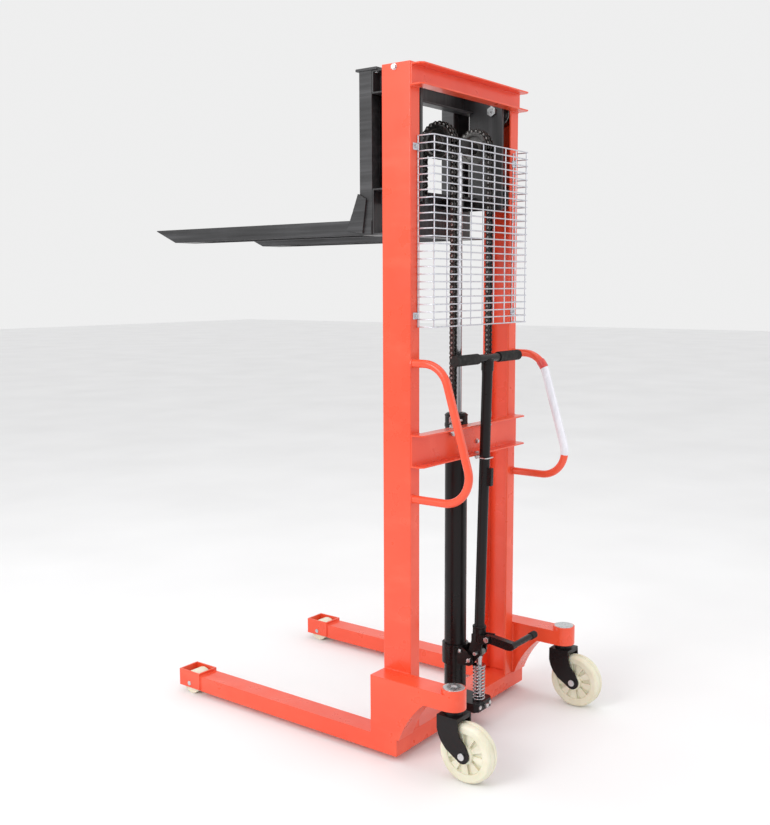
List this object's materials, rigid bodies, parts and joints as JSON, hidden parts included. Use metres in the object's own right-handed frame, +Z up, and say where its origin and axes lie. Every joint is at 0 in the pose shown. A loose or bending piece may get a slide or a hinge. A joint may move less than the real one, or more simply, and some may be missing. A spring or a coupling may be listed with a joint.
{
  "type": "hand-pumped walkie stacker",
  "caption": "Straddle stacker truck with a two-column mast, chain-lifted fork carriage, hydraulic ram, pump handle, wire guard and swivel casters.",
  "frame": {"origin": "centre of the bounding box on the floor plane that the wheels stand on", "axes": "+Z up, +Y the way the forks point, +X the machine's right seen by its operator"},
  "size_m": [0.79, 1.491, 2.112],
  "materials": {
    "orange_paint": "gloss orange-red enamel on welded steel",
    "black_paint": "gloss black enamel on steel",
    "zinc_steel": "zinc-plated steel",
    "ground_steel": "machined steel, lightly oiled",
    "chrome_rod": "hard-chromed ground rod",
    "guard_wire": "bright galvanised welded wire",
    "chain_steel": "oiled dark chain steel",
    "nylon": "cast off-white nylon",
    "grip_rubber": "black ribbed rubber"
  },
  "bodies": {
    "mast": {"column_left": "orange_paint", "column_right": "orange_paint", "top_beam": "orange_paint", "mid_beam": "orange_paint", "base_beam": "orange_paint", "leg_left": "orange_paint", "leg_right": "orange_paint", "skirt_left": "orange_paint", "skirt_right": "orange_paint", "swivel_tubes": "orange_paint", "grab_handle_left": "orange_paint", "grab_handle_right": "orange_paint", "swivel_caps": "zinc_steel", "frame_bolts": "zinc_steel", "chain_anchors": "zinc_steel", "handle_clip": "zinc_steel", "roller_axles": "zinc_steel", "lever_pin": "zinc_steel", "pump_spring": "zinc_steel", "wire_guard": "guard_wire", "lift_cylinder": "black_paint", "cylinder_gland": "black_paint", "pump_body": "black_paint", "pump_clamp": "black_paint", "rear_chains": "chain_steel"},
    "ram": {"piston_rod": "chrome_rod", "crosshead": "black_paint", "sheave_axle": "ground_steel", "chain_wraps": "chain_steel", "front_chains": "chain_steel"},
    "sheave_left": {"sheave_left": "ground_steel"},
    "sheave_right": {"sheave_right": "ground_steel"},
    "carriage": {"side_plates": "black_paint", "upper_crossbar": "black_paint", "lower_crossbar": "black_paint", "fork_left": "black_paint", "fork_right": "black_paint", "chain_brackets": "black_paint", "carriage_pins": "zinc_steel"},
    "guide_roller_upper_left": {"guide_roller_upper_left": "ground_steel"},
    "guide_roller_upper_right": {"guide_roller_upper_right": "ground_steel"},
    "guide_roller_lower_left": {"guide_roller_lower_left": "ground_steel"},
    "guide_roller_lower_right": {"guide_roller_lower_right": "ground_steel"},
    "lever": {"pump_lever": "black_paint", "foot_pedal": "black_paint", "lever_bolts": "zinc_steel"},
    "lever_roller": {"lever_roller": "ground_steel"},
    "handle": {"handle_tube": "black_paint", "t_bar": "black_paint", "handle_grips": "grip_rubber"},
    "plunger": {"pump_plunger": "chrome_rod"},
    "release_valve": {"release_valve": "zinc_steel"},
    "caster_left": {"caster_fork_left": "black_paint", "caster_bolts_left": "zinc_steel"},
    "caster_right": {"caster_fork_right": "black_paint", "caster_bolts_right": "zinc_steel"},
    "wheel_left": {"caster_wheel_left": "nylon"},
    "wheel_right": {"caster_wheel_right": "nylon"},
    "front_roller_left": {"front_roller_left": "nylon"},
    "front_roller_right": {"front_roller_right": "nylon"}
  },
  "joints": [
    {"name": "ram_lift", "type": "slide", "parent": "mast", "child": "ram", "axis": [0, 0, 1], "range_m": [-0.785, 0], "deforming": ["rear_chains"]},
    {"name": "carriage_lift", "type": "slide", "parent": "ram", "child": "carriage", "axis": [0, 0, 1], "range_m": [-0.785, 0], "deforming": ["front_chains"]},
    {"name": "sheave_left_spin", "type": "hinge", "parent": "ram", "child": "sheave_left", "pos_m": [-0.105, -0.3785, 1.898], "axis": [1, 0, 0], "range_deg": [-806, 2]},
    {"name": "sheave_right_spin", "type": "hinge", "parent": "ram", "child": "sheave_right", "pos_m": [0.105, -0.3785, 1.898], "axis": [1, 0, 0], "range_deg": [-806, 2]},
    {"name": "guide_upper_left_roll", "type": "hinge", "parent": "carriage", "child": "guide_roller_upper_left", "pos_m": [-0.284, -0.3665, 2.034], "axis": [1, 0, 0], "range_deg": [-2, 2075]},
    {"name": "guide_lower_left_roll", "type": "hinge", "parent": "carriage", "child": "guide_roller_lower_left", "pos_m": [-0.284, -0.3665, 1.754], "axis": [1, 0, 0], "range_deg": [-2075, 2]},
    {"name": "guide_upper_right_roll", "type": "hinge", "parent": "carriage", "child": "guide_roller_upper_right", "pos_m": [0.284, -0.3665, 2.034], "axis": [1, 0, 0], "range_deg": [-2, 2075]},
    {"name": "guide_lower_right_roll", "type": "hinge", "parent": "carriage", "child": "guide_roller_lower_right", "pos_m": [0.284, -0.3665, 1.754], "axis": [1, 0, 0], "range_deg": [-2075, 2]},
    {"name": "lever_pump", "type": "hinge", "parent": "mast", "child": "lever", "pos_m": [0, -0.4525, 0.23], "axis": [1, 0, 0], "range_deg": [0, 45], "stiffness_Nm_per_rad": 40, "springref_deg": -11.46},
    {"name": "lever_roller_spin", "type": "hinge", "parent": "lever", "child": "lever_roller", "pos_m": [0, -0.4765, 0.258], "axis": [1, 0, 0], "continuous": true},
    {"name": "handle_twist", "type": "hinge", "parent": "lever", "child": "handle", "pos_m": [0, -0.4725, 0.306], "axis": [0, -0.0262, 0.9997], "range_deg": [0, 15]},
    {"name": "plunger_stroke", "type": "slide", "parent": "mast", "child": "plunger", "axis": [0, 0, 1], "range_m": [-0.026, 0], "deforming": ["pump_spring"]},
    {"name": "release_turn", "type": "hinge", "parent": "mast", "child": "release_valve", "pos_m": [0, -0.5025, 0.077], "axis": [0, 1, 0], "range_deg": [0, 90]},
    {"name": "caster_left_swivel", "type": "hinge", "parent": "mast", "child": "caster_left", "pos_m": [-0.3505, -0.603, 0.212], "axis": [0, 0, 1], "continuous": true},
    {"name": "wheel_left_spin", "type": "hinge", "parent": "caster_left", "child": "wheel_left", "pos_m": [-0.3505, -0.6555, 0.09], "axis": [1, 0, 0], "continuous": true},
    {"name": "front_roller_left_spin", "type": "hinge", "parent": "mast", "child": "front_roller_left", "pos_m": [-0.3505, 0.5055, 0.04], "axis": [1, 0, 0], "continuous": true},
    {"name": "caster_right_swivel", "type": "hinge", "parent": "mast", "child": "caster_right", "pos_m": [0.3505, -0.603, 0.212], "axis": [0, 0, 1], "continuous": true},
    {"name": "wheel_right_spin", "type": "hinge", "parent": "caster_right", "child": "wheel_right", "pos_m": [0.3505, -0.6555, 0.09], "axis": [1, 0, 0], "continuous": true},
    {"name": "front_roller_right_spin", "type": "hinge", "parent": "mast", "child": "front_roller_right", "pos_m": [0.3505, 0.5055, 0.04], "axis": [1, 0, 0], "continuous": true}
  ],
  "couplings": [
    {"joint": "carriage_lift", "follows": "ram_lift", "ratio": 1},
    {"joint": "sheave_left_spin", "follows": "ram_lift", "rad_per_m": 17.857},
    {"joint": "sheave_right_spin", "follows": "ram_lift", "rad_per_m": 17.857},
    {"joint": "guide_upper_left_roll", "follows": "ram_lift", "rad_per_m": -45.977},
    {"joint": "guide_lower_left_roll", "follows": "ram_lift", "rad_per_m": 45.977},
    {"joint": "guide_upper_right_roll", "follows": "ram_lift", "rad_per_m": -45.977},
    {"joint": "guide_lower_right_roll", "follows": "ram_lift", "rad_per_m": 45.977},
    {"joint": "plunger_stroke", "follows": "lever_pump", "m_per_rad": -0.0321}
  ]
}
